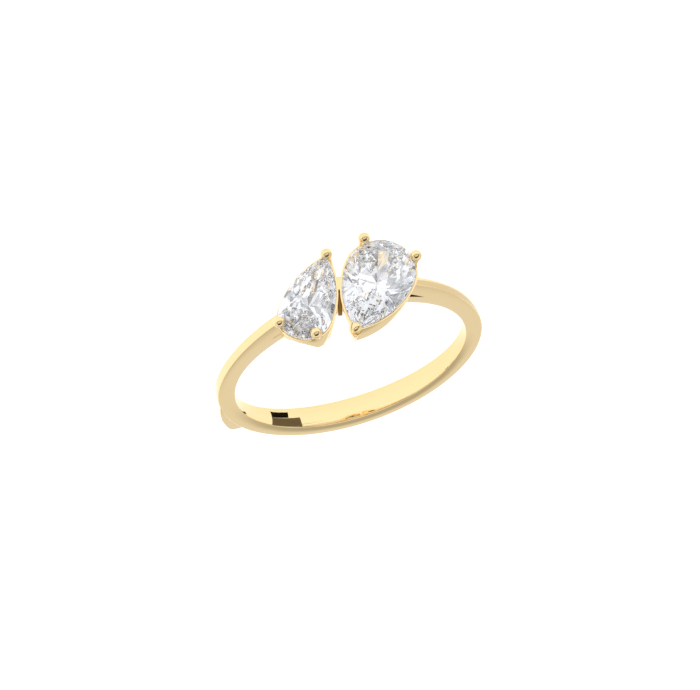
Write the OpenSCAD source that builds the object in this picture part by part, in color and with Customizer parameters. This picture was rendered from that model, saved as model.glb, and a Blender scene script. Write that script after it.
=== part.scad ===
// Toi et moi ring: a tapering gold shank with raised shoulders and two open
// pear settings, soldered into one piece, and two pear brilliants.
// The shapes are drawn as the ring is worn: X across the hand, Y along the
// finger, Z up through the stones, from the centre of the finger hole.
// Each solid is then laid on its side, as the ring rests on a table.

/* [Shank] */
// Inside diameter, which sets the finger size
inner_d = 17; // [15:0.5:21]
// Thickness of the shank at its bottom and sides
shank_t = 1.26; // [1:0.02:1.6]
// Width of the shank at its bottom
shank_w = 1.88; // [1.4:0.02:2.6]
// Width of the shank at the top, under the settings
shoulder_w = 0.7; // [0.5:0.05:1.2]
// Thickness of the arch that runs on under the settings
bridge_t = 0.8; // [0.6:0.05:1]

/* [Shoulders] */
// Angle above the shank's middle at which a shoulder leaves its circle
shoulder_turn = 15; // [10:1:20]
// How much larger the shoulder's radius is than the shank's
shoulder_flare = 4.8; // [4:0.2:6]
// Thickness of a shoulder
shoulder_t = 1.18; // [0.9:0.02:1.25]

/* [Stones] */
// Length of the large pear, round end to point
large_l = 6.94; // [6.4:0.02:7.6]
// Width of the large pear
large_w = 4.83; // [4.4:0.01:5.2]
// Length of the small pear, round end to point
small_l = 6.52; // [6:0.02:7.2]
// Width of the small pear
small_w = 3.69; // [3.3:0.01:4]
// Thickness of the girdle, the band round a stone's widest place
girdle_t = 0.2; // [0.18:0.01:0.26]

/* [Setting out] */
// Height of the girdles above the finger hole
girdle_rise = 2.9; // [2.8:0.05:3.4]
// Turn of the pair of stones away from the finger's line
stone_turn = 36.2; // [30:0.2:42]
// How much further the large stone turns than the pair, and the small one less
stone_splay = 1.4; // [0:0.2:2]
// Space between the two girdles at their nearest
stone_gap = 0.44; // [0.42:0.02:0.6]
// How far the large stone's round end lies from the middle, along the stones
large_slide = 2; // [1.8:0.01:2.2]
// How far the small stone's round end lies from the middle, the other way
small_slide = 2.72; // [2.5:0.01:2.9]
// How far the pair stands over to the small stone's side
pair_shift = 0.09; // [0:0.01:0.15]

/* [Settings] */
// Width of the bright rim outside a girdle
rim_w = 0.17; // [0.14:0.01:0.18]
// Depth of a setting beside its stone's point, from its rim down to its base
cup_h = 1.75; // [1.6:0.05:1.85]
// How much higher the large setting's base arches between its point and the arm
large_base_rise = 1.3; // [0.8:0.1:1.4]
// How much higher the small setting's base arches across its round end
small_base_rise = 1.2; // [0.8:0.1:1.3]
// How much a setting narrows on each side from its rim down to its base
cup_taper = 0.12; // [0.05:0.01:0.25]
// Open back of a setting, as a share of its stone's width that is left closed on each side
back_share = 0.25; // [0.2:0.01:0.3]
// Width of the saddle between both settings and the arch
saddle_w = 1.7; // [1.4:0.1:2]
// Clearance between a stone and the metal round it
seat_gap = 0.03; // [0.02:0.01:0.05]

/* [Prongs] */
// Diameter of the round bead on a prong
bead_d = 0.82; // [0.7:0.02:0.9]
// Diameter of a prong under its bead
prong_d = 0.7; // [0.5:0.02:0.8]
// Diameter of a prong's rounded foot
foot_d = 0.46; // [0.4:0.02:0.6]
// Height of a bead's centre above the girdle
bead_rise = 0.4; // [0.36:0.02:0.46]
// Distance of the large stone's beads outside its girdle
bead_out = 0.22; // [0.1:0.02:0.26]
// How far the small stone's side beads stand over to its outer side
bead_shift = 0.1; // [0:0.05:0.25]
// Turn of the round-end prongs from the stone's long axis
prong_turn = 46; // [40:1:50]
// Height of a prong from its foot to its bead's centre
prong_h = 2.95; // [2.7:0.05:3.1]
// Distance of a foot from the middle of the ring, as a share of its bead's
foot_share = 0.83; // [0.8:0.01:0.92]
// Width of the cap over the large stone's point
cap_w = 0.86; // [0.7:0.02:1]

/* [Nib] */
// How far the nib low on one side stands out from the shank
nib_out = 0.6; // [0.3:0.05:0.8]
// Width of the nib
nib_w = 0.34; // [0.26:0.02:0.4]

/* [Hidden] */

$fn = 96;
width_strips = 20;
round_steps = 12;
side_steps = 10;

// Cut of both stones, as shares of a stone's width. The table's edge lies
// further in at the round end and most at the point
crown_share = 0.15;
pavilion_share = 0.42;
table_side_share = 0.2;
table_round_share = 0.24;
table_point_share = 0.36;

// Corners of the crown's star facets, as a share of the crown's height, and
// of the long pavilion facets, as a share of the pavilion's depth
star_share = 0.55;
lower_share = 0.74;

// Place of the culet past the middle of the round end, as a share of the
// distance from there to the point
culet_share = 0.16;

// Girdle corners, two to each main facet, and points between two corners
corners = 16;
corner_steps = 4;

// Shank sizes
inner_r = inner_d / 2;
outer_r = inner_r + shank_t;
bridge_r = inner_r + bridge_t;

// A shoulder is an arc of larger radius that leaves the shank's outer circle
// smoothly and runs up to a setting
shoulder_r = outer_r + shoulder_flare;
shoulder_x = -shoulder_flare * cos(shoulder_turn);
shoulder_z = -shoulder_flare * sin(shoulder_turn);

// Heights over the middle of the finger hole
girdle_z = inner_r + girdle_rise;
rim_z = girdle_z - girdle_t / 2;
base_z = rim_z - cup_h;
bead_z = girdle_z + bead_rise;
foot_z = bead_z - prong_h;
shoulder_top_z = base_z + 0.75;
saddle_top_z = base_z + 0.95;

// The window under the small stone's shoulder is filled out to here
window_left = 4.2;

// Rise of a setting's base over its lowest place, against the distance from
// the stone's point. The large one is low again where its arm comes in
large_lift = [[0, 0], [large_l * 0.6, large_base_rise], [large_l * 0.76, 0.3]];
small_lift = [
    [0, 0.4], [small_l * 0.54, 0.4], [small_l * 0.86, 0.1],
    [small_l * 0.92, 0.1], [small_l, small_base_rise]
];

// A pear is a half circle and two long side arcs, which run smoothly out of it
// and meet at the point on +Y. These give the side arc's radius and how far
// its centre lies past the middle
function side_r(l, w) = (pow(l - w / 2, 2) + w * w / 4) / w;
function side_shift(l, w) = side_r(l, w) - w / 2;
function side_sweep(l, w) = acos(side_shift(l, w) / side_r(l, w));
function point_y(l, w) = l - w / 2;

// The stones' long axes run side by side, as far apart as leaves stone_gap
// between the two side arcs that face each other
large_shift = side_shift(large_l, large_w);
small_shift = side_shift(small_l, small_w);
axis_gap = sqrt(
    pow(side_r(large_l, large_w) + side_r(small_l, small_w) + stone_gap, 2)
    - pow(large_slide + small_slide - (large_shift - small_shift) * sin(stone_splay), 2)
) - (large_shift + small_shift) * cos(stone_splay);

// Ring of points round a pear that is set out by d all round, at height z,
// counterclockwise from the middle of the round end
function pear_ring(l, w, d, z) =
    let (
        r = w / 2 + d,
        rs = side_r(l, w) + d,
        c = side_shift(l, w),
        sweep = acos(c / rs),
        half = concat(
            [for (i = [0:round_steps - 1])
                let (a = -90 + 90 * i / round_steps) [r * cos(a), r * sin(a)]],
            [for (i = [0:side_steps])
                let (a = sweep * i / side_steps) [rs * cos(a) - c, rs * sin(a)]]
        ),
        last = len(half) - 1,
        all = concat(half, [for (i = [last - 1:-1:1]) [-half[i].x, half[i].y]])
    )
    [for (p = all) [p.x, p.y, z]];

// Such a ring at the base of a setting, lifted by a table of rises
function base_ring(l, w, d, lift) =
    let (
        level = pear_ring(l, w, d, base_z),
        edge = pear_ring(l, w, 0, 0)
    )
    [for (i = [0:len(level) - 1])
        level[i] + [0, 0, lookup(point_y(l, w) - edge[i].y, lift)]];

// Lids over a ring of n points, in flat strips from side to side
function lid(n) = concat(
    [[0, 1, n - 1]],
    [for (i = [1:n / 2 - 2]) [i, i + 1, n - i - 1, n - i]],
    [[n / 2 - 1, n / 2, n / 2 + 1]]
);

// Closed solid skinned over a stack of rings, lowest first
module loft(rings) {
    n = len(rings[0]);
    top = len(rings) - 1;
    polyhedron(
        points = [for (ring = rings) each ring],
        faces = concat(
            lid(n),
            [for (face = lid(n)) [for (i = [len(face) - 1:-1:0]) top * n + face[i]]],
            [for (k = [0:top - 1], i = [0:n - 1])
                [k * n + i, (k + 1) * n + i, (k + 1) * n + (i + 1) % n]],
            [for (k = [0:top - 1], i = [0:n - 1])
                [k * n + i, (k + 1) * n + (i + 1) % n, k * n + (i + 1) % n]]
        )
    );
}

// Half width of the shank at height z: it narrows smoothly towards the top
function half_width(z) =
    shoulder_w / 2 + (shank_w - shoulder_w) / 2 * pow((1 - z / outer_r) / 2, 2);

// Side view of the shank, which narrows the solid cut from its front view
module shank_side() {
    reach = outer_r + girdle_rise;
    low = -outer_r - 1;
    edge = [for (i = [0:width_strips])
        let (z = low + (reach - low) * i / width_strips)
        [half_width(min(z, outer_r)), z]];
    polygon(concat(edge, [for (i = [width_strips:-1:0]) [-edge[i].x, edge[i].y]]));
}

// One raised shoulder in the front view, a disc cut off where it leaves the
// shank's circle and where it has run into its setting
module shoulder_front() {
    intersection() {
        translate([shoulder_x, shoulder_z]) circle(r = shoulder_r);
        rotate(shoulder_turn) square([2 * outer_r, 2 * outer_r]);
        square([2 * outer_r, shoulder_top_z]);
    }
}

// Space between the shoulders over the arch, in the front view
module window_front() {
    difference() {
        intersection() {
            translate([shoulder_x, shoulder_z]) circle(r = shoulder_r - shoulder_t);
            translate([-shoulder_x, shoulder_z]) circle(r = shoulder_r - shoulder_t);
            translate([-window_left, 0]) square([2 * outer_r, 2 * outer_r]);
        }
        circle(r = bridge_r);
    }
}

module shank_front() {
    difference() {
        union() {
            circle(r = outer_r);
            shoulder_front();
            mirror([1, 0]) shoulder_front();
        }
        window_front();
        circle(r = inner_r);
    }
    translate([-saddle_w / 2, inner_r + bridge_t / 2])
        square([saddle_w, saddle_top_z - inner_r - bridge_t / 2]);
}

module shank() {
    intersection() {
        rotate([90, 0, 0]) linear_extrude(2 * shank_w, center = true) shank_front();
        rotate([90, 0, 90]) linear_extrude(4 * outer_r, center = true) shank_side();
    }
}

// Outside of a setting, a pear cup that narrows downwards, with arches in its base
module cup_body(l, w, lift) {
    loft([
        base_ring(l, w, -w * back_share * 1.2, lift),
        base_ring(l, w, rim_w - cup_taper, lift),
        pear_ring(l, w, rim_w, rim_z)
    ]);
}

// Room for a stone: the open back, the seat that the pavilion lies in, the
// girdle and the crown
module stone_room(l, w) {
    crown_in = w * table_side_share * 0.6;
    crown_z = girdle_z + girdle_t / 2;
    loft([
        pear_ring(l, w, -w * back_share * 1.2, base_z - 0.4),
        pear_ring(l, w, -w * back_share, base_z),
        pear_ring(l, w, -0.1, rim_z - 0.2),
        pear_ring(l, w, seat_gap, rim_z - seat_gap),
        pear_ring(l, w, seat_gap, crown_z + seat_gap),
        pear_ring(l, w, -crown_in, crown_z + w * crown_share + seat_gap)
    ]);
}

// Places in the ring of a point beside the large stone, which points down its
// own +Y to the front, and of one beside the small stone, which lies the other
// way round
large_middle = [axis_gap / 2 - pair_shift, large_slide];
small_middle = [-axis_gap / 2 - pair_shift, -small_slide];
function turned(p, a) = [p.x * cos(a) - p.y * sin(a), p.x * sin(a) + p.y * cos(a)];
function by_large(p) = turned(large_middle + turned(p, 180 - stone_splay), -stone_turn);
function by_small(p) = turned(small_middle + turned(p, stone_splay), -stone_turn);

module at_large() {
    rotate(-stone_turn) translate(large_middle) rotate(180 - stone_splay) children();
}

module at_small() {
    rotate(-stone_turn) translate(small_middle) rotate(stone_splay) children();
}

// The two prong places at a stone's round end
function round_place(w, out, side) =
    (w / 2 + out) * [side * sin(prong_turn), -cos(prong_turn)];

large_places = [for (side = [-1, 1]) by_large(round_place(large_w, bead_out, side))];
small_places = [for (side = [-1, 1])
    by_small(round_place(small_w, 0, side) - [bead_shift, 0])];
small_point_place = by_small([0, point_y(small_l, small_w) - 0.08]);
cap_place = by_large([0, point_y(large_l, large_w) + 0.2]);

// Round stem from a bead down to its rounded foot, which stands nearer to the
// middle of the ring
module stem(at) {
    foot = [at.x * foot_share, at.y * foot_share, foot_z];
    run = [at.x, at.y, bead_z] - foot;
    translate(foot) {
        sphere(d = foot_d, $fn = 32);
        rotate([0, acos(run.z / norm(run)), atan2(run.y, run.x)])
            cylinder(h = norm(run), d1 = foot_d, d2 = prong_d, $fn = 32);
    }
}

module prong(at) {
    stem(at);
    translate([at.x, at.y, bead_z]) sphere(d = bead_d, $fn = 48);
}

// Rounded three-cornered cap over the large stone's point
module point_cap() {
    ball = 0.36;
    side = (cap_w - ball) / 2;
    y = point_y(large_l, large_w);
    hull() {
        for (p = [[-side, y + 0.02], [side, y + 0.02], [0, y + cap_w / 2]])
            translate([p.x, p.y, bead_z - 0.02]) sphere(d = ball, $fn = 24);
        translate([0, y + 0.2, bead_z - 0.3]) sphere(d = prong_d, $fn = 24);
    }
}

// Small nib on the shank's outer edge, a slow ramp with a sharp end
nib_turn = 209;
module nib() {
    y = nib_w / 2 - half_width(outer_r * sin(nib_turn));
    rotate([90, 0, 0])
        translate([0, 0, -y])
        linear_extrude(nib_w, center = true)
        polygon([for (p = [[-12, -0.4], [-8, 0], [0, nib_out], [1.2, nib_out * 0.8], [2.2, 0], [2.2, -0.4]])
            (outer_r + p[1]) * [cos(nib_turn + p[0]), sin(nib_turn + p[0])]]);
}

module mount_as_worn() {
    difference() {
        union() {
            shank();
            nib();
            at_large() cup_body(large_l, large_w, large_lift);
            at_small() cup_body(small_l, small_w, small_lift);
            for (at = large_places) prong(at);
            for (at = small_places) prong(at);
            prong(small_point_place);
            stem(cap_place);
            at_large() point_cap();
        }
        at_large() stone_room(large_l, large_w);
        at_small() stone_room(small_l, small_w);
        rotate([90, 0, 0]) cylinder(r = inner_r, h = 4 * shank_w, center = true);
    }
}

// Point and inward direction on a pear's outline at share s of the way round,
// counterclockwise from the middle of the round end. A quarter lies on each
// half of the round end and a quarter on each side arc, evenly spread there.
// The point of the pear counts as facing straight back
function outline_at(l, w, s) =
    let (
        flip = s <= 0.5 ? 1 : -1,
        run = 4 * (s <= 0.5 ? s : 1 - s),
        a = run <= 1 ? 90 * run - 90 : side_sweep(l, w) * (run - 1),
        dir = [cos(a), sin(a)],
        p = run <= 1 ? dir * w / 2 : dir * side_r(l, w) - [side_shift(l, w), 0]
    )
    s == 0.5
        ? [[0, point_y(l, w)], [0, -1]]
        : [[flip * p.x, p.y], [-flip * dir.x, -dir.y]];

// Crossing of the lines that lie da and db inside the outline at a and at b
function crossing(a, b, da, db) =
    let (
        ra = a[0] * a[1] + da,
        rb = b[0] * b[1] + db,
        det = a[1].x * b[1].y - a[1].y * b[1].x
    )
    [(ra * b[1].y - rb * a[1].y) / det, (a[1].x * rb - b[1].x * ra) / det];

function flat(p) = [p.x, p.y];

// Rise of a facet through a, b and s, all level but s, at the point p
function facet_rise(a, b, s, p, rise) =
    rise * cross(b - a, p - a) / cross(b - a, s - a);

// A pear brilliant: table, eight stars, eight crown mains, sixteen upper
// girdle facets, the girdle, and the same below down to the culet
module pear_stone(l, w) {
    mains = corners / 2;
    crown_h = w * crown_share;
    pavilion_h = w * pavilion_share;
    up_z = girdle_z + girdle_t / 2;
    low_z = girdle_z - girdle_t / 2;
    culet = [0, point_y(l, w) * culet_share];
    main = [for (k = [0:mains - 1]) outline_at(l, w, k / mains)];
    table_in = [for (k = [0:mains - 1])
        w * (k == mains / 2 ? table_point_share : k == 0 ? table_round_share : table_side_share)];
    culet_in = [for (k = [0:mains - 1]) (culet - main[k][0]) * main[k][1]];
    table = [for (k = [0:mains - 1]) main[k][0] + main[k][1] * table_in[k]];
    star = [for (k = [0:mains - 1])
        let (n = (k + 1) % mains)
        crossing(main[k], main[n], table_in[k] * star_share, table_in[n] * star_share)];
    low = [for (k = [0:mains - 1])
        let (n = (k + 1) % mains)
        crossing(main[k], main[n], culet_in[k] * lower_share, culet_in[n] * lower_share)];

    // Girdle points. The flat facets meet the curved girdle in shallow scallops
    n = corners * corner_steps;
    rim = [for (i = [0:n - 1]) outline_at(l, w, i / n)[0]];
    part = [for (i = [0:n - 1])
        let (a = rim[i - i % corner_steps], b = rim[(i - i % corner_steps + corner_steps) % n])
        [a, b, floor(i / corner_steps / 2)]];
    upper = [for (i = [0:n - 1])
        [rim[i].x, rim[i].y, up_z
            + facet_rise(part[i][0], part[i][1], star[part[i][2]], rim[i], crown_h * star_share)]];
    lower = [for (i = [0:n - 1])
        [rim[i].x, rim[i].y, low_z
            - facet_rise(part[i][0], part[i][1], low[part[i][2]], rim[i], pavilion_h * lower_share)]];
    step = corner_steps * 2;
    t0 = 2 * n;
    s0 = t0 + mains;
    l0 = s0 + mains;
    c0 = l0 + mains;
    polyhedron(
        points = concat(
            upper,
            lower,
            [for (p = table) [p.x, p.y, up_z + crown_h]],
            [for (p = star) [p.x, p.y, up_z + crown_h * star_share]],
            [for (p = low) [p.x, p.y, low_z - pavilion_h * lower_share]],
            [[culet.x, culet.y, low_z - pavilion_h]]
        ),
        faces = concat(
            [[for (k = [mains - 1:-1:0]) t0 + k]],
            [for (k = [0:mains - 1]) [t0 + k, t0 + (k + 1) % mains, s0 + k]],
            [for (k = [0:mains - 1])
                [k * step, s0 + (k + mains - 1) % mains, t0 + k, s0 + k]],
            [for (j = [0:corners - 1], i = [0:corner_steps - 1])
                [j * corner_steps + i, s0 + floor(j / 2), (j * corner_steps + i + 1) % n]],
            [for (i = [0:n - 1]) [i, (i + 1) % n, n + (i + 1) % n, n + i]],
            [for (j = [0:corners - 1], i = [0:corner_steps - 1])
                [n + j * corner_steps + i, n + (j * corner_steps + i + 1) % n, l0 + floor(j / 2)]],
            [for (k = [0:mains - 1])
                [n + k * step, l0 + k, c0, l0 + (k + mains - 1) % mains]]
        )
    );
}

// How the ring lies on a table. It rests on two points of its back: the large
// stone's rear bead, and the back edge of the shank where a line from that bead
// through the centre of weight comes out below
rest_bead = [large_places[1].x, large_places[1].y, bead_z];
weight = [0.02 * outer_r, 0, 0.2 * outer_r];
rest_line = flat_line(rest_bead - weight);
rest_run = weight * rest_line
    + sqrt(pow(weight * rest_line, 2) - weight * weight + outer_r * outer_r);
rest_rim = weight - rest_run * rest_line;
rest_edge = [rest_rim.x, half_width(rest_rim.z), rest_rim.z];

function unit(v) = v / norm(v);
function flat_line(v) = unit([v.x, 0, v.z]);

// Run of the shank's back edge at that point, and the direction straight down
// to the table, which touches the edge there and the bead's ball
edge_run = unit([
    -rest_rim.z,
    -(shank_w - shoulder_w) * (1 - rest_rim.z / outer_r) / 4 / outer_r * rest_rim.x,
    rest_rim.x
]);
across = rest_bead - rest_edge - ((rest_bead - rest_edge) * edge_run) * edge_run;
sink = bead_d / 2 / norm(across);
down = sqrt(1 - sink * sink) * cross(unit(across), edge_run) - sink * unit(across);

// The ring is turned so that the stones look to the front, set on the table,
// and centred there
lay_y = unit([0, 0, -1] + down.z * down);
lay_x = cross(lay_y, -down);
lay_front = bead_d / 2 - lay_y * rest_bead;
lay_rear = -lay_y * [0, shank_w / 2, outer_r];
lay_back = (lay_front - lay_rear) / 2;

module laid() {
    translate([0, lay_back, down * rest_edge])
        multmatrix([
            [lay_x.x, lay_x.y, lay_x.z, 0],
            [lay_y.x, lay_y.y, lay_y.z, 0],
            [-down.x, -down.y, -down.z, 0],
            [0, 0, 0, 1]
        ]) children();
}

module ring_mount() {
    color([0.93, 0.78, 0.46]) laid() mount_as_worn();
}

module large_pear_stone() {
    color([0.9, 0.94, 0.97]) laid() at_large() pear_stone(large_l, large_w);
}

module small_pear_stone() {
    color([0.9, 0.94, 0.97]) laid() at_small() pear_stone(small_l, small_w);
}

ring_mount();
large_pear_stone();
small_pear_stone();
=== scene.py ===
# %% [markdown]
# # A toi et moi ring, modelled by hand over its construction
# A toi et moi ring carries two stones side by side. This one is cast in
# yellow gold, soldered into one piece, and mirror polished. The packed
# construction gives the sizes and the place on the table. It stays as it is,
# and finer pieces are modelled over it here.

# %% Load the construction
import math

import bmesh
import bpy
from mathutils import Matrix, Vector


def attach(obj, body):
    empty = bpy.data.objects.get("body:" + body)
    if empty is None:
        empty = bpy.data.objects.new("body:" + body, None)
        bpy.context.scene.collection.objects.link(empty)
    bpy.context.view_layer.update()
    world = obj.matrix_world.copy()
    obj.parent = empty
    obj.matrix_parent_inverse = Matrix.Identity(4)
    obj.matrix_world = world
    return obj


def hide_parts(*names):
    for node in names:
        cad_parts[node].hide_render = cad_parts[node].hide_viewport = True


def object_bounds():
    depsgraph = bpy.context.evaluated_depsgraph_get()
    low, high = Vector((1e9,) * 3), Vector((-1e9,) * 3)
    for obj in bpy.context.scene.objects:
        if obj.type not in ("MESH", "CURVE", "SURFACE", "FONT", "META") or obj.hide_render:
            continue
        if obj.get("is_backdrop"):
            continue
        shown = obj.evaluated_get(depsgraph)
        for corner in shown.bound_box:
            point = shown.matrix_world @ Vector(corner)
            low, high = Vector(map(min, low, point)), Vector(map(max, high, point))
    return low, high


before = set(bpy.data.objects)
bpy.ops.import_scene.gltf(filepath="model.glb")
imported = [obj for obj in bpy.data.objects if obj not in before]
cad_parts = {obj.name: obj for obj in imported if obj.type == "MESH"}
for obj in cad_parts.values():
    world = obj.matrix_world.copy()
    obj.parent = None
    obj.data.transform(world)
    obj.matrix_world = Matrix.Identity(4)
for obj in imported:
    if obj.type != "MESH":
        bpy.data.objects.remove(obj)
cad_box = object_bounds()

print("nodes:", sorted(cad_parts))

# %% [markdown]
# ## How the ring lies
# A goldsmith draws a ring as it is worn, with the stones on top, so every
# piece is modelled that way, in millimetres from the centre of the finger
# hole: X across the hand, Y along the finger and Z up through the stones.
# On the table the ring lies on its side. The three directions below say where
# the drawing's X, Y and Z point then, and each finished piece is laid down
# with them, so that its place ends up in its mesh.

# %% Lay a piece down
MM = 0.001
ACROSS_HAND = Vector((-0.999183, 0.004646, 0.040159))
ALONG_FINGER = Vector((-0.040427, -0.114819, -0.992563))
THROUGH_STONES = Vector((0.0, -0.993376, 0.114913))
HOLE_CENTRE = Vector((0.0, 1.3404, 2.0991))

laying = Matrix((ACROSS_HAND, ALONG_FINGER, THROUGH_STONES)).transposed().to_4x4()
laying.translation = HOLE_CENTRE
laying = Matrix.Scale(MM, 4) @ laying
print("the finger hole's centre is at", [round(c, 5) for c in laying.translation])

# %% [markdown]
# ## The camera
# The photograph looks at the ring from close above the stones. The ring rests
# with its stones to the side, so the camera stands low on that side and is
# turned most of the way round on its own axis. A long lens from 30 cm keeps
# the round hole a clean ellipse, as in a catalogue picture.

# %% Place the camera
CAMERA_AZIMUTH = 7.98
CAMERA_ELEVATION = 30.33
CAMERA_ROLL = 158.35
CAMERA_DISTANCE = 0.3
LENS = 218.2
SENSOR = 36.0
PICTURE = (700, 690)
AIM_PIXEL = (348.98, 359.25)

azimuth = math.radians(CAMERA_AZIMUTH)
elevation = math.radians(CAMERA_ELEVATION)
backwards = Vector((
    math.sin(azimuth) * math.cos(elevation),
    -math.cos(azimuth) * math.cos(elevation),
    math.sin(elevation),
))
bpy.ops.object.select_all(action="DESELECT")
bpy.ops.object.camera_add(location=laying.translation + backwards * CAMERA_DISTANCE)
camera = bpy.context.object
camera.rotation_mode = "QUATERNION"
level = (-backwards).to_track_quat("-Z", "Y")
camera.rotation_quaternion = level @ Matrix.Rotation(
    math.radians(CAMERA_ROLL), 3, "Z").to_quaternion()
camera.data.lens = LENS
camera.data.sensor_width = SENSOR
camera.data.clip_start = 0.01
camera.data.clip_end = 10
camera.data.shift_x = (PICTURE[0] / 2 - AIM_PIXEL[0]) / PICTURE[0]
camera.data.shift_y = (AIM_PIXEL[1] - PICTURE[1] / 2) / PICTURE[0]
bpy.context.scene.camera = camera
print("the camera stands at", [round(c, 4) for c in camera.location])

# %% [markdown]
# ## Colours and nodes
# Colours are written as the hex values that a picture editor shows, and one
# function turns them into the linear light that Blender reckons with. Another
# small function adds a node with its settings and its links.

# %% Helpers for materials
def linear(hex_colour):
    """Linear RGBA of an sRGB hex colour."""
    shares = [int(hex_colour[i:i + 2], 16) / 255 for i in (1, 3, 5)]
    return [s / 12.92 if s <= 0.04045 else ((s + 0.055) / 1.055) ** 2.4 for s in shares] + [1.0]


def add_node(tree, kind, settings=(), inputs=()):
    """Add a node, set its properties and fill or link its inputs."""
    node = tree.nodes.new(kind)
    for name, value in dict(settings).items():
        setattr(node, name, value)
    for name, value in dict(inputs).items():
        if isinstance(value, bpy.types.NodeSocket):
            tree.links.new(value, node.inputs[name])
        else:
            node.inputs[name].default_value = value
    return node


def new_material(name):
    """Material with an empty tree and its output."""
    material = bpy.data.materials.new(name)
    material.use_nodes = True
    material.node_tree.nodes.clear()
    return material, material.node_tree, add_node(material.node_tree, "ShaderNodeOutputMaterial")

# %% [markdown]
# ## Polished yellow gold
# 18 carat yellow gold, cast and polished on a felt wheel. It mirrors the
# white studio, so its colour is mostly the white times the gold's own warm
# tint, and hand polishing leaves the surface a little wavy, in swells
# of one or two millimetres that bend the reflections.

# %% Make the gold
GOLD_TINT = "#FBE0AA"
POLISH_SWELL_MM = 1.6
POLISH_DEPTH_MM = 0.007

gold, tree, output = new_material("polished 18 carat yellow gold")
place = add_node(tree, "ShaderNodeTexCoord")
swells = add_node(tree, "ShaderNodeTexNoise", inputs={
    "Vector": place.outputs["Object"],
    "Scale": 1 / (POLISH_SWELL_MM * MM),
    "Detail": 1.0,
})
polish = add_node(tree, "ShaderNodeBump", inputs={
    "Strength": 1.0,
    "Distance": POLISH_DEPTH_MM * MM,
    "Height": swells.outputs["Fac"],
})
metal = add_node(tree, "ShaderNodeBsdfPrincipled", inputs={
    "Base Color": linear(GOLD_TINT),
    "Metallic": 1.0,
    "Roughness": 0.05,
    "Normal": polish.outputs["Normal"],
})
tree.links.new(metal.outputs["BSDF"], output.inputs["Surface"])
print("made", gold.name)

# %% [markdown]
# ## Gold painted with shade
# The slit between arm and arch and the gap between the settings lie in shade,
# so there the gold is painted a dull dark brown that stands in for it.

# %% Make the gold painted with shade
shade_gold, tree, output = new_material("gold painted dark brown as shade")
shade_brown = add_node(tree, "ShaderNodeBsdfPrincipled", inputs={
    "Base Color": linear("#A8803F"),
    "Metallic": 1.0,
    "Roughness": 0.5,
})
tree.links.new(shade_brown.outputs["BSDF"], output.inputs["Surface"])
print("made", shade_gold.name)

# %% [markdown]
# ## Rhodium plate
# Yellow metal behind a colourless stone makes it look yellow. So jewellers
# plate the inside of a yellow setting with rhodium, which is white and bright.
# It is a thin plate over the polished gold, so it needs only its own tint.

# %% Make the rhodium plate
rhodium, tree, output = new_material("white rhodium plate")
plate = add_node(tree, "ShaderNodeBsdfPrincipled", inputs={
    "Base Color": linear("#E4E6EA"),
    "Metallic": 1.0,
    "Roughness": 0.1,
})
tree.links.new(plate.outputs["BSDF"], output.inputs["Surface"])
print("made", rhodium.name)

# %% [markdown]
# ## Diamond
# Two colourless diamonds, ground to flat facets and polished. Diamond bends
# light more than any other clear stone, with an IOR of 2.42, so most light
# that enters the crown is thrown back by the pavilion. The facets are in the
# construction's own stones, so these keep their shape and take this finish.

# %% Make the diamond
diamond, tree, output = new_material("colourless brilliant cut diamond")
stone = add_node(tree, "ShaderNodeBsdfPrincipled", inputs={
    "Base Color": linear("#F6F9FF"),
    "Transmission Weight": 1.0,
    "IOR": 2.417,
    "Roughness": 0.0,
})
tree.links.new(stone.outputs["BSDF"], output.inputs["Surface"])
for node in ("large_pear_stone", "small_pear_stone"):
    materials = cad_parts[node].data.materials
    materials.clear()
    materials.append(diamond)
print("made", diamond.name)

# %% [markdown]
# ## Sizes of the ring
# These are the construction's sizes in millimetres, as a maker would note
# them at the bench. A pear outline is a half circle and two side arcs that
# meet at the point, so three numbers give the whole of it.

# %% Note the sizes
INNER_R = 8.5
OUTER_R = 9.76
ARCH_R = 9.3
GIRDLE_Z = 11.4
RIM_Z = 11.3
BASE_Z = 9.55
BEAD_Z = 11.8
STONE_TURN = 36.2
STONE_SPLAY = 1.4
SEAT_STEP, SEAT_DEPTH = 0.1, 0.2
BACK_SHARE = 0.25


def turned(point, degrees):
    """A point of the plan turned about the middle, counterclockwise."""
    a = math.radians(degrees)
    return (
        point[0] * math.cos(a) - point[1] * math.sin(a),
        point[0] * math.sin(a) + point[1] * math.cos(a),
    )


class Pear:
    """Outline and place of one pear stone, its round end in the middle."""

    def __init__(self, length, width, middle, turn):
        self.length, self.width, self.turn = length, width, turn
        self.round_r = width / 2
        self.side_r = ((length - width / 2) ** 2 + width ** 2 / 4) / width
        self.side_x = self.round_r - self.side_r
        self.point_y = length - width / 2
        self.middle = turned(middle, -STONE_TURN)

    def place(self, x, y):
        """Where a point beside the stone lies on the ring's plan."""
        x, y = turned((x, y), self.turn)
        return self.middle[0] + x, self.middle[1] + y

    def inside(self, point):
        """How far inside the stone's outline a point of the ring lies."""
        x, y = turned((point.x - self.middle[0], point.y - self.middle[1]), -self.turn)
        if y < 0:
            return self.round_r - math.hypot(x, y)
        return self.side_r - math.hypot(abs(x) - self.side_x, y)

    def seat_inside(self, z):
        """How far inside the outline the seat lies at a height, less a little."""
        slack = 0.04
        share = (RIM_Z - SEAT_DEPTH - z) / (RIM_Z - SEAT_DEPTH - BASE_Z)
        if share <= 0:
            return -slack
        return SEAT_STEP + (self.width * BACK_SHARE - SEAT_STEP) * share - slack


large = Pear(6.94, 4.83, (1.7979, 2.0), 180 - STONE_SPLAY - STONE_TURN)
small = Pear(6.52, 3.69, (-1.9779, -2.72), STONE_SPLAY - STONE_TURN)
for pear in (large, small):
    print("round end at", [round(c, 3) for c in pear.middle])

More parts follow.
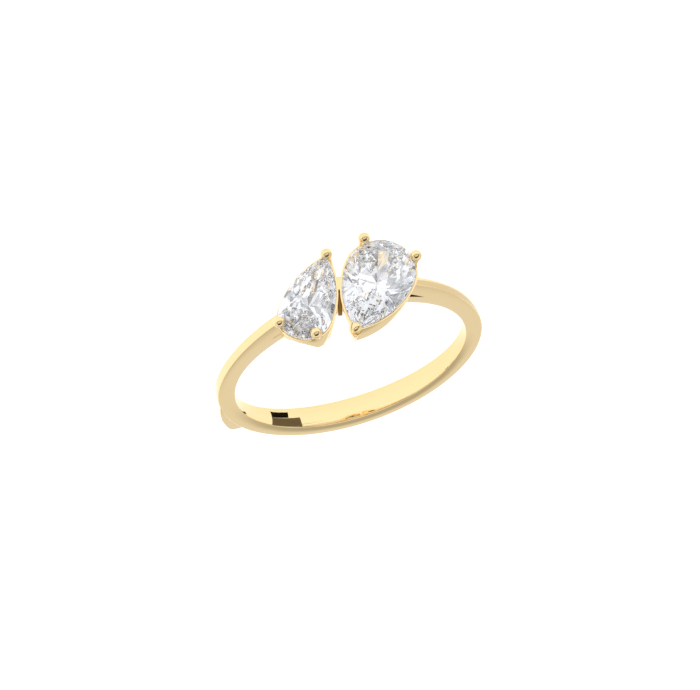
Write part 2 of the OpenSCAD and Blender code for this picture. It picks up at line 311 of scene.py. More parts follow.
# %% [markdown]
# ## Modelling helpers
# Each piece begins as a primitive. Thin profiles begin as a plane that is
# merged to a single point, which is then drawn out along a line and swept
# round a centre, as a bench jeweller bends wire round a mandrel.

# %% Helpers for modelling
def start_piece(name, add_primitive, **settings):
    """Add a primitive as a new piece that is open for editing."""
    if bpy.context.mode != "OBJECT":
        bpy.ops.object.mode_set(mode="OBJECT")
    bpy.ops.object.select_all(action="DESELECT")
    add_primitive(**settings)
    piece = bpy.context.object
    piece.name = piece.data.name = name
    bpy.ops.object.transform_apply(location=True, rotation=True, scale=True)
    bpy.ops.object.mode_set(mode="EDIT")
    bpy.ops.mesh.select_mode(type="VERT")
    bpy.ops.mesh.select_all(action="SELECT")
    return piece


def start_point(name, at):
    """Start a piece as a single point."""
    piece = start_piece(name, bpy.ops.mesh.primitive_plane_add, size=0.1, location=at)
    bpy.ops.mesh.merge(type="CENTER")
    return piece


def draw_line(points):
    """Draw the selected point out along a line of points."""
    for here, there in zip(points, points[1:]):
        step = Vector(there) - Vector(here)
        bpy.ops.mesh.extrude_region_move(TRANSFORM_OT_translate={"value": step})


def sweep(degrees, steps, centre, axis):
    """Sweep what is selected round a centre, counterclockwise about the axis.

    Spin itself turns clockwise about it, hence the minus."""
    bpy.ops.mesh.spin(steps=steps, angle=-math.radians(degrees), center=centre, axis=axis)


def choose(kind, test):
    """Select the points, edges or faces whose points all pass a test."""
    bpy.ops.mesh.select_mode(type=kind)
    bpy.ops.mesh.select_all(action="DESELECT")
    shape = bmesh.from_edit_mesh(bpy.context.object.data)
    if kind == "VERT":
        chosen = [p for p in shape.verts if test(p.co)]
    else:
        parts = shape.edges if kind == "EDGE" else shape.faces
        chosen = [p for p in parts if all(test(v.co) for v in p.verts)]
    for part in chosen:
        part.select_set(True)
    shape.select_flush_mode()
    bmesh.update_edit_mesh(bpy.context.object.data)
    return len(chosen)


def use_modifier(piece, kind, **settings):
    """Add a modifier to a piece and apply it."""
    bpy.ops.object.mode_set(mode="OBJECT")
    modifier = piece.modifiers.new(kind.lower(), kind)
    for name, value in settings.items():
        setattr(modifier, name, value)
    bpy.ops.object.modifier_apply(modifier=modifier.name)
    bpy.ops.object.mode_set(mode="EDIT")


def tidy(distance=0.0005):
    """Merge doubled points and turn all faces outwards."""
    bpy.ops.mesh.select_mode(type="VERT")
    bpy.ops.mesh.select_all(action="SELECT")
    bpy.ops.mesh.remove_doubles(threshold=distance)
    bpy.ops.mesh.normals_make_consistent(inside=False)

# %% [markdown]
# ## The band
# The shank is a strip of gold that is widest below and narrows towards the
# head. Two arms rise off its circle and carry the settings, and between them
# the inner half runs on as an arch under the stones. It could be turned as a
# plain torus and bent, but half of its front view drawn as arcs follows a
# goldsmith's drawing exactly, and a mirror makes the other half.

# %% Draw half of the band's front view
SHOULDER_TURN = 15.0
SHOULDER_R = 14.56
SHOULDER_T = 1.18
ARM_TOP_Z = 10.3
SHOULDER_SWEEP = 25.87
SHOULDER_OFFSET = 4.8
shoulder_centre = Vector((-SHOULDER_OFFSET * math.cos(math.radians(SHOULDER_TURN)), 0,
                          -SHOULDER_OFFSET * math.sin(math.radians(SHOULDER_TURN))))
COUNTERCLOCKWISE = (0, -1, 0)
WINDOW_CORNER_TURN = 53.887
OUTER_STEPS = 28
SHOULDER_STEPS = 10

band = start_point("band", (0, 0, -OUTER_R))
sweep(90 + SHOULDER_TURN, OUTER_STEPS, (0, 0, 0), COUNTERCLOCKWISE)
sweep(SHOULDER_SWEEP, SHOULDER_STEPS, shoulder_centre, COUNTERCLOCKWISE)
bpy.ops.mesh.primitive_plane_add(size=0.1, location=(0, 0, -INNER_R))
bpy.ops.mesh.merge(type="CENTER")
draw_line([(0, 0, -INNER_R), (0, 0, -ARCH_R)])
choose("VERT", lambda p: abs(p.x) < 0.001 and p.z > -OUTER_R + 0.1)
sweep(90 + SHOULDER_TURN, OUTER_STEPS, (0, 0, 0), COUNTERCLOCKWISE)
sweep(WINDOW_CORNER_TURN - SHOULDER_TURN, SHOULDER_STEPS, (0, 0, 0), COUNTERCLOCKWISE)


def from_shoulder(p):
    return math.hypot(p.x - shoulder_centre.x, p.z - shoulder_centre.z)


def from_centre(p):
    return math.hypot(p.x, p.z)


def on_outside(p):
    """True on the band's outer edge: the shank's circle or a shoulder's."""
    if abs(p.x) < 0.001 and p.z > 0:
        return False
    right = Vector((abs(p.x), p.y, p.z))
    return abs(from_centre(p) - OUTER_R) < 0.01 or abs(from_shoulder(right) - SHOULDER_R) < 0.01


choose("EDGE", lambda p: on_outside(p) or abs(from_centre(p) - ARCH_R) < 0.001)
bpy.ops.mesh.bridge_edge_loops()

# %% [markdown]
# ## The arms and the arch
# Past the corner of the window the outer half goes on as the arm, which ends
# under its setting, and the inner half goes on as the arch, up to the middle.

# %% Add the arm and the arch
window_corner = Vector((ARCH_R * math.cos(math.radians(WINDOW_CORNER_TURN)), 0,
                        ARCH_R * math.sin(math.radians(WINDOW_CORNER_TURN))))


def near_corner(p):
    return (p - window_corner).length < 0.01


def at_last_row(p):
    """True where the band's half view has ended so far."""
    past_end = math.atan2(p.z, p.x) > math.radians(WINDOW_CORNER_TURN - 2)
    return past_end and from_shoulder(p) > SHOULDER_R - 0.01 or near_corner(p)


ARM_SWEEP, ARM_STEPS = 18, 6
ARCH_STEPS = 10
choose("EDGE", at_last_row)
sweep(ARM_SWEEP, ARM_STEPS, shoulder_centre, COUNTERCLOCKWISE)
choose("EDGE", lambda p: near_corner(p) or (p - window_corner * INNER_R / ARCH_R).length < 0.01)
sweep(90 - WINDOW_CORNER_TURN, ARCH_STEPS, (0, 0, 0), COUNTERCLOCKWISE)
tidy()
bpy.ops.mesh.bisect(plane_co=(0, 0, ARM_TOP_Z), plane_no=(0, 0, 1), clear_outer=True)

# %% [markdown]
# ## The band's width
# The flat front view is drawn out to a slab and every level of it is pressed
# to its own width: 1.88 mm at the bottom and 0.7 mm under the stones. The
# outer face is a little narrower than the inner one, as the file leaves it.

# %% Press the band to its width
SHANK_W = 1.88
HEAD_W = 0.7
OUTER_FACE_SHARE = 0.98


def half_width(z):
    """Half of the shank's width at a height."""
    share = (1 - min(z, OUTER_R) / OUTER_R) / 2
    return (HEAD_W + (SHANK_W - HEAD_W) * share ** 2) / 2


bpy.ops.mesh.select_all(action="SELECT")
bpy.ops.transform.translate(value=(0, -1, 0))
bpy.ops.mesh.extrude_region_move(TRANSFORM_OT_translate={"value": (0, 2, 0)})
bpy.ops.object.mode_set(mode="OBJECT")
levels = sorted({round(v.co.z, 3) for v in band.data.vertices})
bpy.ops.object.mode_set(mode="EDIT")
for level in levels:
    choose("VERT", lambda p: abs(p.z - level) < 0.0006)
    bpy.ops.transform.resize(value=(1, half_width(level), 1), center_override=(0, 0, 0))
choose("VERT", on_outside)
bpy.ops.transform.resize(value=(1, OUTER_FACE_SHARE, 1), center_override=(0, 0, 0))
choose("FACE", lambda p: abs(p.x) < 0.001)
bpy.ops.mesh.delete(type="FACE")
tidy()
use_modifier(band, "MIRROR", use_axis=(True, False, False), merge_threshold=0.001)
tidy()
print("the band's levels:", len(levels), "points:", len(band.data.vertices))

# %% [markdown]
# ## The band's edges
# Polishing rounds the outer edges, softly below and at the sides and hardly
# at all on the arms, and leaves the inner edges almost crisp. So each level
# of an outer edge gets its own bevel weight, and one modifier rounds them all.

# %% Round the band's edges
OUTER_EDGE = 0.18
ARM_EDGE_SHARE = 0.4
SOFT_UP_TO, CRISP_FROM = -1.0, 8.5
INNER_EDGE = 0.08
choose("EDGE", lambda p: abs(from_centre(p) - INNER_R) < 0.01 and abs(p.y) > 0.1)
bpy.ops.mesh.bevel(offset=INNER_EDGE, segments=2, profile=0.5)
bpy.ops.object.mode_set(mode="OBJECT")
levels = sorted({round(v.co.z, 3) for v in band.data.vertices if on_outside(v.co)})
bpy.ops.object.mode_set(mode="EDIT")
for low, high in zip(levels, levels[1:]):
    share = min(1, max(0, ((low + high) / 2 - SOFT_UP_TO) / (CRISP_FROM - SOFT_UP_TO)))
    choose("EDGE", lambda p: on_outside(p) and abs(p.y) > 0.1
           and low - 0.0006 < p.z < high + 0.0006)
    bpy.ops.transform.edge_bevelweight(value=1 - (1 - ARM_EDGE_SHARE) * share)
use_modifier(band, "BEVEL", limit_method="WEIGHT", width=OUTER_EDGE, segments=5,
             use_clamp_overlap=False)
tidy()
bpy.ops.object.mode_set(mode="OBJECT")

# %% [markdown]
# ## Sweeping round a pear
# A cross section is drawn once at the stone's round end and swept round the
# half circle and then along the side arc to the point. The cut at the middle
# leaves one half, and a mirror gives the other.

# %% Helpers for pear-shaped pieces
SEAT_GAP = 0.015
ABOUT_UPRIGHT = (0, 0, 1)
PEAR_STEPS = 16
PAST_POINT = 0.3


def swept_pear(name, pear, section):
    """Sweep a section of (distance outside the girdle, height) round a pear."""
    line = [(0, -pear.round_r - out, z) for out, z in section]
    piece = start_point(name, line[0])
    draw_line(line)
    bpy.ops.mesh.select_all(action="SELECT")
    sweep(90, PEAR_STEPS, (0, 0, 0), ABOUT_UPRIGHT)
    side_sweep = math.degrees(math.acos(-pear.side_x / (pear.side_r + PAST_POINT)))
    sweep(side_sweep, PEAR_STEPS, (pear.side_x, 0, 0), ABOUT_UPRIGHT)
    tidy()
    bpy.ops.mesh.bisect(plane_co=(0, 0, 0), plane_no=(1, 0, 0), clear_inner=True)
    use_modifier(piece, "MIRROR", use_axis=(True, False, False), merge_threshold=0.002)
    tidy()
    return piece


def put_in_place(piece, pear):
    """Move a piece from its stone's own plan to the ring's."""
    bpy.ops.object.mode_set(mode="OBJECT")
    piece.rotation_euler.z = math.radians(pear.turn)
    piece.location.x, piece.location.y = pear.middle
    bpy.ops.object.transform_apply(location=True, rotation=True, scale=True)


# %% [markdown]
# ## Room for the stones
# A setter cuts away whatever metal stands in a stone's way. The tool for
# that here is a plug in the stone's own outline. Its wall follows the inside
# of the setting, stands just off the girdle, and draws in over the crown.

# %% Make the setter's plugs
BELOW_BASE = 0.4
HALF_GIRDLE = 0.1
CROWN_IN, CROWN_UP = 0.12, 0.15


def stone_room(name, pear):
    """Plug that follows a stone and the open back under it."""
    top = GIRDLE_Z + HALF_GIRDLE + SEAT_GAP
    section = [
        (-pear.width * BACK_SHARE * 1.2, BASE_Z - BELOW_BASE),
        (-pear.width * BACK_SHARE, BASE_Z),
        (-SEAT_STEP, RIM_Z - SEAT_DEPTH),
        (SEAT_GAP, RIM_Z - SEAT_GAP),
        (SEAT_GAP, top),
        (-pear.width * CROWN_IN, top + pear.width * CROWN_UP),
    ]
    piece = swept_pear(name, pear, section)
    for level in (section[0][1], section[-1][1]):
        choose("EDGE", lambda p: abs(p.z - level) < 0.001)
        bpy.ops.mesh.edge_face_add()
    tidy()
    put_in_place(piece, pear)
    return piece


rooms = [stone_room("large_room", large), stone_room("small_room", small)]


def make_room(piece):
    """Cut the stones' room out of a piece."""
    bpy.ops.object.mode_set(mode="OBJECT")
    bpy.ops.object.select_all(action="DESELECT")
    piece.select_set(True)
    bpy.context.view_layer.objects.active = piece
    for room in rooms:
        cut = piece.modifiers.new("room", "BOOLEAN")
        cut.operation, cut.object, cut.solver = "DIFFERENCE", room, "EXACT"
        bpy.ops.object.modifier_apply(modifier=cut.name)


make_room(band)
for finish in (gold, rhodium, shade_gold):
    band.data.materials.append(finish)


def on_arch(p):
    return abs(from_centre(p) - ARCH_R) < 0.01 and p.z > 0


PLATED_TO_X = 4.4
SLIT_FROM_X, SLIT_FROM_Z = 3.4, 7.4


def under_stones(p):
    return on_arch(p) and abs(p.x) < PLATED_TO_X


def in_slit(p):
    right = Vector((abs(p.x), p.y, p.z))
    on_arm = abs(from_shoulder(right) - (SHOULDER_R - SHOULDER_T)) < 0.01
    return abs(p.x) > SLIT_FROM_X and p.z > SLIT_FROM_Z and (on_arch(p) or on_arm)


# Finish 2, a dull dark brown, is painted shade on the faces in the slit.
bpy.ops.object.mode_set(mode="EDIT")
for slot, test in enumerate((under_stones, in_slit), 1):
    print("faces with finish", slot, ":", choose("FACE", test))
    band.active_material_index = slot
    bpy.ops.object.material_slot_assign()
bpy.ops.object.mode_set(mode="OBJECT")
print("the band has", len(band.data.polygons), "faces")

# %% [markdown]
# ## The settings
# Each setting is a pear-shaped cup, open at the back, with a fine flat rim
# round the girdle. Its base is deepest at the point and where an arm comes in,
# and arches up between them, so that light reaches the stone. The plain cup is
# swept first, its base is lifted level by level, and then the stone's room is
# cut out. Where a setting faces away from its neighbour it is filed thinner.

# %% Model the two settings
RIM_W = 0.17
CUP_TAPER = 0.12
THIN_RIM = 0.08
RIM_EDGE = 0.02
large_lifts = [(0, 0), (4.16, 1.3), (5.27, 0.3), (6.94, 0.3)]
small_lifts = [(0, 0.4), (3.52, 0.4), (5.61, 0.1), (6.0, 0.1), (6.52, 1.2)]


def lift_at(distance, lifts):
    """How far a base is lifted at a distance from its stone's point."""
    for (near, low), (far, high) in zip(lifts, lifts[1:]):
        if distance < far:
            return low + (high - low) * max(0, distance - near) / (far - near)
    return lifts[-1][1]


def setting(name, pear, lifts, thin_axis):
    """Cup with its base lifted by a table and one side filed thinner."""
    back = -pear.width * BACK_SHARE * 1.2
    piece = swept_pear(name, pear, [(RIM_W, RIM_Z), (RIM_W - CUP_TAPER, BASE_Z),
                                    (back, BASE_Z), (back, RIM_Z), (RIM_W, RIM_Z)])
    thin = (pear.round_r + THIN_RIM) / (pear.round_r + RIM_W)
    choose("VERT", lambda p: p[thin_axis] < -0.001)
    bpy.ops.transform.resize(value=[thin if axis == thin_axis else 1 for axis in range(3)],
                             center_override=(0, 0, 0))
    bpy.ops.object.mode_set(mode="OBJECT")
    levels = sorted({round(v.co.y, 3) for v in piece.data.vertices if v.co.z < BASE_Z + 0.001})
    bpy.ops.object.mode_set(mode="EDIT")
    for level in levels:
        choose("VERT", lambda p: p.z < BASE_Z + 0.001 and abs(p.y - level) < 0.0006)
        lift = lift_at(pear.point_y - level, lifts)
        bpy.ops.transform.translate(value=(0, 0, lift))
    put_in_place(piece, pear)
    make_room(piece)
    bpy.ops.object.mode_set(mode="EDIT")
    tidy()
    choose("EDGE", lambda p: abs(p.z - RIM_Z) < 0.001)
    bpy.ops.mesh.bevel(offset=RIM_EDGE, segments=2, profile=0.5)
    tidy()
    piece.data.materials.append(gold)
    piece.data.materials.append(rhodium)
    on_seat = choose("FACE", lambda p: p.z < RIM_Z - 0.01
                     and pear.inside(p) > pear.seat_inside(p.z))
    piece.active_material_index = 1
    bpy.ops.object.material_slot_assign()
    bpy.ops.object.mode_set(mode="OBJECT")
    print(name, "has", len(piece.data.polygons), "faces,", on_seat, "of them in its seat")
    return piece


large_setting = setting("large_setting", large, large_lifts, 1)
small_setting = setting("small_setting", small, small_lifts, 0)

# %% [markdown]
# ## The prongs
# Five round claws hold the stones. Each is a wire that tapers to a rounded
# foot and ends above in a ball, which is pressed over the stone's edge. One
# is modelled upright and copied, and every copy leans as its wire does, from
# its ball down to a foot nearer to the middle of the ring.

# %% Model one prong
BEAD_D = 0.815
PRONG_D = 0.78
FOOT_D = 0.46
PRONG_H = 2.95
FOOT_SHARE = 0.83
FOOT_STEPS, FOOT_STEP, FOOT_SHRINK = 3, 0.34, 0.84

upright = start_piece("upright_prong", bpy.ops.mesh.primitive_uv_sphere_add,
                      segments=32, ring_count=20, radius=BEAD_D / 2)
neck_z = -math.sqrt(BEAD_D ** 2 - PRONG_D ** 2) / 2
bpy.ops.mesh.bisect(plane_co=(0, 0, neck_z), plane_no=(0, 0, 1), clear_inner=True)
choose("EDGE", lambda p: abs(p.z - neck_z) < 0.001)
foot_scale = FOOT_D / PRONG_D
bpy.ops.mesh.extrude_region_move(
    TRANSFORM_OT_translate={"value": (0, 0, -PRONG_H - neck_z)})
bpy.ops.transform.resize(value=(foot_scale, foot_scale, 1), center_override=(0, 0, -PRONG_H))
for step in range(FOOT_STEPS):
    bpy.ops.mesh.extrude_region_move(
        TRANSFORM_OT_translate={"value": (0, 0, -FOOT_D / 2 * FOOT_STEP)})
    bpy.ops.transform.resize(value=(FOOT_SHRINK, FOOT_SHRINK, 1),
                             center_override=(0, 0, -PRONG_H))
bpy.ops.mesh.merge(type="CENTER")
tidy()
bpy.ops.object.mode_set(mode="OBJECT")
print("one prong has", len(upright.data.polygons), "faces")

# %% [markdown]
# ## Five prongs in their places
# Two hold the large stone's round end and three the small stone: two at its
# round end and one at its point. The cap over the large stone's point has the
# same wire under it.

# %% Copy the prongs
PRONG_TURN = 46.0
BEAD_OUT = 0.22
BEAD_SHIFT = 0.1


def at_round_end(pear, out, side):
    a = math.radians(PRONG_TURN)
    return (side * (pear.round_r + out) * math.sin(a), -(pear.round_r + out) * math.cos(a))


places = {
    "large_prong_left": large.place(*at_round_end(large, BEAD_OUT, 1)),
    "large_prong_right": large.place(*at_round_end(large, BEAD_OUT, -1)),
    "small_prong_left": small.place(at_round_end(small, 0, -1)[0] - BEAD_SHIFT,
                                    at_round_end(small, 0, -1)[1]),
    "small_prong_right": small.place(at_round_end(small, 0, 1)[0] - BEAD_SHIFT,
                                     at_round_end(small, 0, 1)[1]),
    "small_prong_point": small.place(0, small.point_y - 0.08),
    "cap_prong": large.place(0, large.point_y + 0.2),
}


def lean(x, y):
    """Turn and move from the upright prong to one at a place."""
    foot_run = Vector((-x * (1 - FOOT_SHARE), -y * (1 - FOOT_SHARE), -PRONG_H))
    return Matrix.Translation((x, y, BEAD_Z)) @ Vector((0, 0, -1)).rotation_difference(
        foot_run).to_matrix().to_4x4()


def copy_of(piece, name):
    """Copy a piece with a mesh of its own."""
    twin = piece.copy()
    twin.data = piece.data.copy()
    twin.name = twin.data.name = name
    bpy.context.collection.objects.link(twin)
    return twin


CAP_PRONG_CUT = 0.35
CAP_PRONG_FLARE = 1.18
prongs = []
for name, (x, y) in places.items():
    prong = copy_of(upright, name)
    prong.data.transform(lean(x, y))
    if name == "cap_prong":
        bpy.ops.object.select_all(action="DESELECT")
        prong.select_set(True)
        bpy.context.view_layer.objects.active = prong
        bpy.ops.object.mode_set(mode="EDIT")
        bpy.ops.mesh.select_all(action="SELECT")
        bpy.ops.mesh.bisect(plane_co=(0, 0, BEAD_Z - CAP_PRONG_CUT), plane_no=(0, 0, 1),
                            clear_outer=True, use_fill=True)
        choose("VERT", lambda p: p.z > BEAD_Z - CAP_PRONG_CUT - 0.05)
        bpy.ops.transform.resize(value=(CAP_PRONG_FLARE, CAP_PRONG_FLARE, 1))
        tidy()
    make_room(prong)
    prongs.append(prong)
    print(name, "at", round(x, 3), round(y, 3))
bpy.data.objects.remove(upright)

# %% [markdown]
# ## The cap over the large stone's point
# A point is fragile, so it sits under a small pellet of gold, pressed flat
# against the stone and narrower on its outer side. It starts as a cube that is
# pressed to size. Its edges are rounded and the whole is then smoothed.

# %% Model the cap
CAP_W, CAP_OUT, CAP_H = 0.98, 0.86, 0.8
cap = start_piece("point_cap", bpy.ops.mesh.primitive_cube_add, size=1)
bpy.ops.transform.resize(value=(CAP_W, CAP_OUT, CAP_H))
bpy.ops.transform.translate(value=(0, large.point_y + 0.17, BEAD_Z - 0.1))
choose("FACE", lambda p: p.y > large.point_y + 0.3)
bpy.ops.transform.resize(value=(0.6, 1, 0.85))
bpy.ops.mesh.select_all(action="SELECT")
bpy.ops.mesh.bevel(offset=0.24, segments=1)
tidy()
use_modifier(cap, "SUBSURF", levels=2, render_levels=2)
tidy()
put_in_place(cap, large)
make_room(cap)
print("the cap has", len(cap.data.polygons), "faces")

# %% [markdown]
# ## The saddle, the bridge and the web
# Between the two settings a small block stands on the arch and carries them.
# Above it a polished bridge joins their walls at the back, and a thin web fills
# the gap in front, its gold painted dark brown for the shade in the gap. All
# three are solder-fitted blocks, a little narrower at the top.

# %% Model the saddle, the bridge and the web
BLOCK_TOP_SHARE = 0.9
BLOCK_EDGE = 0.05


def block(name, length, width, low, high):
    """Upright block that narrows a little and has softened edges."""
    piece = start_piece(name, bpy.ops.mesh.primitive_cube_add, size=1)
    bpy.ops.transform.resize(value=(length, width, high - low))
    bpy.ops.transform.translate(value=(0, 0, (high + low) / 2))
    choose("FACE", lambda p: p.z > high - 0.001)
    bpy.ops.transform.resize(value=(BLOCK_TOP_SHARE, BLOCK_TOP_SHARE, 1),
                             center_override=(0, 0, high))
    bpy.ops.mesh.select_all(action="SELECT")
    bpy.ops.mesh.bevel(offset=BLOCK_EDGE, segments=2)
    tidy()
    bpy.ops.object.mode_set(mode="OBJECT")
    return piece


SADDLE_LENGTH = 1.7
saddle = block("saddle", SADDLE_LENGTH, HEAD_W, ARCH_R - 0.4, BASE_Z + 0.95)
make_room(saddle)

GAP_TURN = 112 - STONE_TURN
GAP_MIDDLE = turned((-0.42, -0.19), -STONE_TURN)


def in_gap(name, along, length, width, top):
    """Block in the gap between the settings, at a distance along it."""
    piece = block(name, length, width, BASE_Z + 0.5, top)
    shift = turned((along, 0), GAP_TURN)
    piece.rotation_euler.z = math.radians(GAP_TURN)
    piece.location.x, piece.location.y = GAP_MIDDLE[0] + shift[0], GAP_MIDDLE[1] + shift[1]
    bpy.ops.object.transform_apply(location=True, rotation=True, scale=True)
    make_room(piece)
    return piece


bridge = in_gap("bridge", 0.7, 1.15, 0.4, 10.95)
web = in_gap("web", -0.6, 1.5, 0.3, 10.7)
# The web's dark brown is painted shade for the gap between the settings.
web.data.materials.append(shade_gold)
print("the gap's middle is at", [round(c, 2) for c in GAP_MIDDLE])

# %% [markdown]
# ## The gusset
# The slit between arm and arch stays open on the large stone's side. Under the
# small stone its narrow end is filled with solder, drawn here as a thin wedge
# between the two arcs.

# %% Model the gusset
GUSSET_END = -3.6
GUSSET_LENGTH = 1.85
GUSSET_W = 0.69
arm_inside = SHOULDER_R - SHOULDER_T + 0.1
arch_outside = ARCH_R - 0.1
along = [GUSSET_END - GUSSET_LENGTH * step / 5 for step in range(6)]
outline = [(x, -GUSSET_W / 2, math.sqrt(arch_outside ** 2 - x ** 2)) for x in along]
outline += [(x, -GUSSET_W / 2,
             shoulder_centre.z + math.sqrt(arm_inside ** 2 - (x + shoulder_centre.x) ** 2))
            for x in reversed(along)]
gusset = start_point("gusset", outline[0])
draw_line(outline + outline[:1])
tidy()
bpy.ops.mesh.edge_face_add()
bpy.ops.mesh.extrude_region_move(TRANSFORM_OT_translate={"value": (0, GUSSET_W, 0)})
tidy()
choose("EDGE", lambda p: abs(p.x - GUSSET_END) < 0.001)
bpy.ops.mesh.bevel(offset=0.04, segments=2)
tidy()
bpy.ops.object.mode_set(mode="OBJECT")

# %% [markdown]
# ## The nib
# Low on one side of the shank stands a small nib, a long ramp with a blunt
# end. Its front view is drawn out and given a little thickness.

# %% Model the nib
NIB_TURN = 209.0
NIB_OUT = 0.6
NIB_W = 0.32
NIB_INSET = 0.03
outline = [(-23, -0.3), (-21, 0), (-16, 0.2), (-10, 0.42), (-4, 0.56), (-1, NIB_OUT),
           (0.3, 0.52), (1.4, 0.3), (2.4, 0), (3, -0.3)]


def on_rim(degrees, out):
    """Point of the nib's front view, its turn and its height off the rim."""
    a = math.radians(NIB_TURN + degrees)
    front = NIB_INSET - half_width(OUTER_R * math.sin(a)) * OUTER_FACE_SHARE
    return ((OUTER_R + out) * math.cos(a), front, (OUTER_R + out) * math.sin(a))


corners = [on_rim(*corner) for corner in outline]
nib = start_point("nib", corners[0])
draw_line(corners + corners[:1])
tidy()
bpy.ops.mesh.edge_face_add()
bpy.ops.mesh.extrude_region_move(TRANSFORM_OT_translate={"value": (0, NIB_W, 0)})
tidy()
bpy.ops.mesh.select_all(action="SELECT")
bpy.ops.mesh.bevel(offset=0.05, segments=3)
tidy()
bpy.ops.object.mode_set(mode="OBJECT")

# %% [markdown]
# ## Finish the pieces
# Every piece gets its gold, is shaded smooth up to its real edges, and is
# laid on its side in its place on the table.

# %% Lay all pieces down
for room in rooms:
    bpy.data.objects.remove(room)
for piece in [band, large_setting, small_setting, *prongs, cap, saddle, bridge, web, gusset, nib]:
    bpy.ops.object.select_all(action="DESELECT")
    piece.select_set(True)
    bpy.context.view_layer.objects.active = piece
    piece.data.transform(laying)
    if not piece.data.materials:
        piece.data.materials.append(gold)
    bpy.ops.object.shade_smooth_by_angle(angle=math.radians(35))
    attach(piece, "root")
    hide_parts("ring_mount")

# %% [markdown]
# ## Table and light
# The ring lies on a plain white table in a light tent. The table is acrylic
# and lit from below as well, so it stays pure white close to the ring.

# %% Make the table
TABLE_GLOW = 0.8
bpy.ops.object.select_all(action="DESELECT")
bpy.ops.mesh.primitive_plane_add(size=4, location=(0, 0, 0))
table = bpy.context.object
table.name = "white_table"
white, tree, output = new_material("matt white acrylic table")
sheet = add_node(tree, "ShaderNodeBsdfPrincipled", inputs={
    "Base Color": linear("#CACACA"), "Roughness": 0.9, "Specular IOR Level": 0.1,
    "Emission Color": linear("#FFFFFF"), "Emission Strength": TABLE_GLOW})
tree.links.new(sheet.outputs["BSDF"], output.inputs["Surface"])
table.data.materials.append(white)
table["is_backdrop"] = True

# %% [markdown]
# ## Three bits of card
# Polished metal shows whatever stands near it, so a photographer stands small
# dark cards where only the metal sees them. Two stand inside the hole, close
# to the band, and give one end of its inside a dark patch. A third, pale one
# lies beside the ring and tones one arm's outer face.

# %% Stand the cards
def card(name, corners, shade, glow=0.0):
    """Small card that only mirrors show, its corners in mm."""
    piece = start_point(name, corners[0])
    draw_line(corners + corners[:1])
    tidy()
    bpy.ops.mesh.edge_face_add()
    bpy.ops.object.mode_set(mode="OBJECT")
    piece.data.transform(Matrix.Scale(MM, 4))
    paper, tree, output = new_material("matt " + name)
    face = add_node(tree, "ShaderNodeBsdfPrincipled", inputs={
        "Base Color": linear(shade), "Roughness": 0.9, "Specular IOR Level": 0.1,
        "Emission Color": linear("#FFFFFF"), "Emission Strength": glow})
    tree.links.new(face.outputs["BSDF"], output.inputs["Surface"])
    piece.data.materials.append(paper)
    piece.visible_camera = piece.visible_diffuse = piece.visible_transmission = False
    piece.visible_shadow = False
    piece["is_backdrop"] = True


card("black_card",
     [(4.8, 7.4, 0.05), (3.6, 8.02, 0.02), (3.82, 8.03, 0.77), (5.01, 7.37, 0.84)], "#0C0C0C")
card("grey_card",
     [(5.01, 7.37, 0.84), (3.03, 8.34, 0.74), (3.1, 8.43, 1.9), (5.3, 7.3, 1.96)], "#8A8A8A")
card("outer_card",
     [(-12, -14, 0.02), (-30, -14, 0.02), (-30, 6, 0.02), (-12, 6, 0.02)], "#FAFAFA", 0.2)

# %% [markdown]
# ## The light tent
# The tent is bright all round but for a dark gap overhead, which the polished
# beads show as a small black spot each. Seven fainter gaps shade the flat faces
# and the edges, and give the stones their greys.

# %% Light the tent
TENT_STRENGTH = 0.93
tent = bpy.data.worlds.new("light tent")
bpy.context.scene.world = tent
tent.use_nodes = True
tree = tent.node_tree
tree.nodes.clear()
looking = add_node(tree, "ShaderNodeTexCoord").outputs["Generated"]


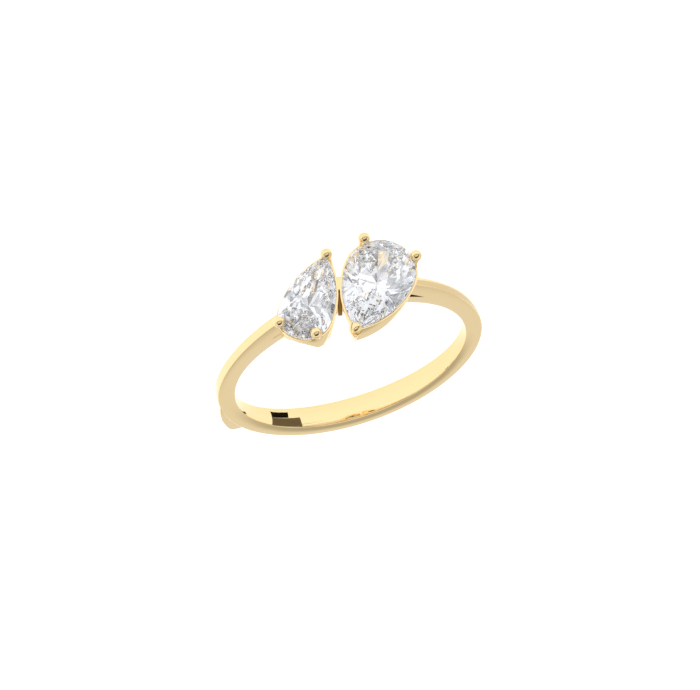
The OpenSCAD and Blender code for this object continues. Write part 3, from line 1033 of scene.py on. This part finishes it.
def dark_gap(azimuth, elevation, wide, high, edge, depth):
    """Brightness round a dark oval, in degrees of azimuth and elevation."""
    to_gap = (Matrix.Rotation(math.radians(-azimuth), 3, "Z"),
              Matrix.Rotation(math.radians(elevation), 3, "X"))
    turn = (to_gap[0] @ to_gap[1]).to_euler()
    local = add_node(tree, "ShaderNodeVectorRotate", {"rotation_type": "EULER_XYZ", "invert": True},
                     {"Vector": looking, "Rotation": tuple(turn)})
    sides = add_node(tree, "ShaderNodeSeparateXYZ", inputs={"Vector": local.outputs["Vector"]})
    oval = add_node(tree, "ShaderNodeCombineXYZ")
    for axis, size in (("X", wide), ("Z", high)):
        part = add_node(tree, "ShaderNodeMath", {"operation": "DIVIDE"}, {0: sides.outputs[axis]})
        part.inputs[1].default_value = math.sin(math.radians(size))
        tree.links.new(part.outputs[0], oval.inputs[axis])
    away = add_node(tree, "ShaderNodeVectorMath", {"operation": "LENGTH"}, {0: oval.outputs[0]})
    behind = add_node(tree, "ShaderNodeMath", {"operation": "LESS_THAN"},
                      {0: sides.outputs["Y"], 1: 0.0})
    far = add_node(tree, "ShaderNodeMath", {"operation": "MULTIPLY_ADD"},
                   {0: behind.outputs[0], 1: 10.0, 2: away.outputs["Value"]})
    return add_node(tree, "ShaderNodeMapRange", {"interpolation_type": "SMOOTHSTEP"},
                    {"Value": far.outputs[0], "From Min": 1 - edge, "From Max": 1 + edge,
                     "To Min": 1 - depth, "To Max": 1.0}).outputs["Result"]


def times(first, second):
    """Product of two brightnesses."""
    product = add_node(tree, "ShaderNodeMath", {"operation": "MULTIPLY"}, {0: first, 1: second})
    return product.outputs[0]


# Each row holds azimuth, elevation, width, height, edge and depth.
faint_gaps = [
    (0, 15, 80, 22, 0.5, 0.12),
    (6, 42, 30, 14, 0.5, 0.45),
    (180, 12, 50, 7, 0.7, 0.75),
    (135, 32, 9, 18, 0.8, 0.8),
    (-125, 30, 11, 20, 0.8, 0.8),
    (-72, 8, 16, 10, 0.5, 0.4),
    (180, 46, 50, 6, 0.8, 0.4),
]
light = dark_gap(172, 72, 42, 16, 0.15, 1.0)
for gap in faint_gaps:
    light = times(light, dark_gap(*gap))
shine = add_node(tree, "ShaderNodeBackground", inputs={
    "Color": linear("#FFFFFF"), "Strength": times(light, TENT_STRENGTH)})
add_node(tree, "ShaderNodeOutputWorld", inputs={"Surface": shine.outputs["Background"]})
BOUNCES_IN_STONE = 24
paths = bpy.context.scene.cycles
paths.max_bounces = paths.glossy_bounces = paths.transmission_bounces = BOUNCES_IN_STONE
bpy.context.scene.view_settings.view_transform = "Standard"
print("the tent has", len(faint_gaps) + 1, "dark gaps")

# %% [markdown]
# ## Finish
# The boxes of the construction and of the finished ring are written side by
# side, so that the two can be compared.

# %% Write the sizes and finish
new_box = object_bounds()
for name, box in (("construction", cad_box), ("finished ring", new_box)):
    print(name, [[round(c * 1000, 3) for c in corner] for corner in box])
